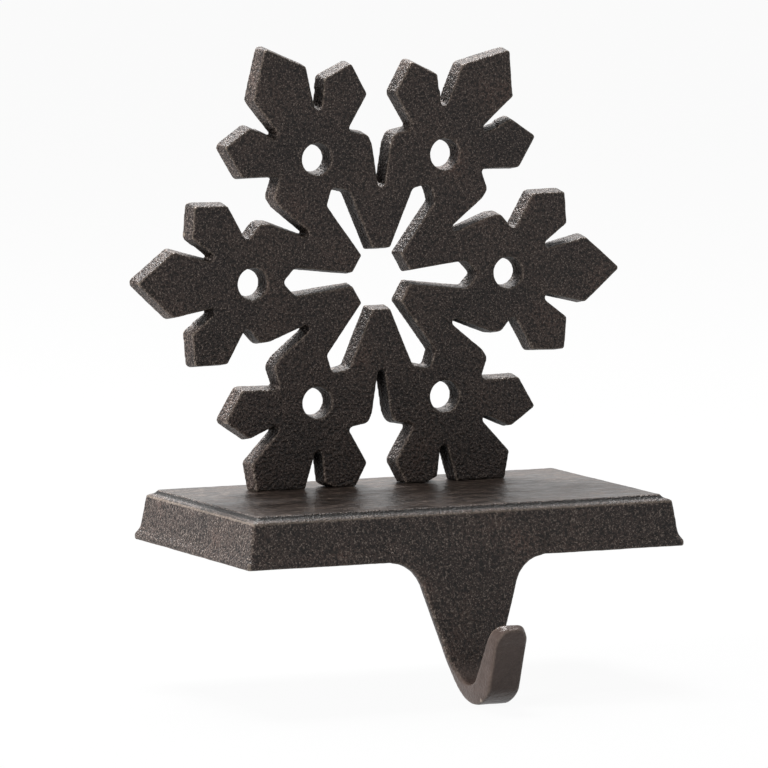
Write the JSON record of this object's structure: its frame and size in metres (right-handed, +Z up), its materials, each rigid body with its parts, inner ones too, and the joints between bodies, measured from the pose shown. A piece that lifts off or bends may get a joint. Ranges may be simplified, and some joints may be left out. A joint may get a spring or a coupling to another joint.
{
  "type": "mantel stocking holder",
  "caption": "Weighted shelf-top stocking holder with a hollow rectangular base, a J hook hanging over the front edge and an upright openwork snowflake.",
  "frame": {"origin": "the middle of the base on the plane of the shelf's top, where the pads' undersides stand", "axes": "+Z up, -Y towards the room, the side that the hook hangs on, +X to the right as seen from the room"},
  "size_m": [0.1518, 0.1092, 0.1788],
  "materials": {
    "cast_iron": "sand-cast, dark antique coat, satin",
    "screw_steel": "black oxide",
    "pad_rubber": "black rubber, self-adhesive"
  },
  "bodies": {
    "root": {"base_and_hook": "cast_iron", "snowflake": "cast_iron", "mounting_screws": "screw_steel", "pad_front_left": "pad_rubber", "pad_front_right": "pad_rubber", "pad_rear_left": "pad_rubber", "pad_rear_right": "pad_rubber"}
  },
  "joints": []
}
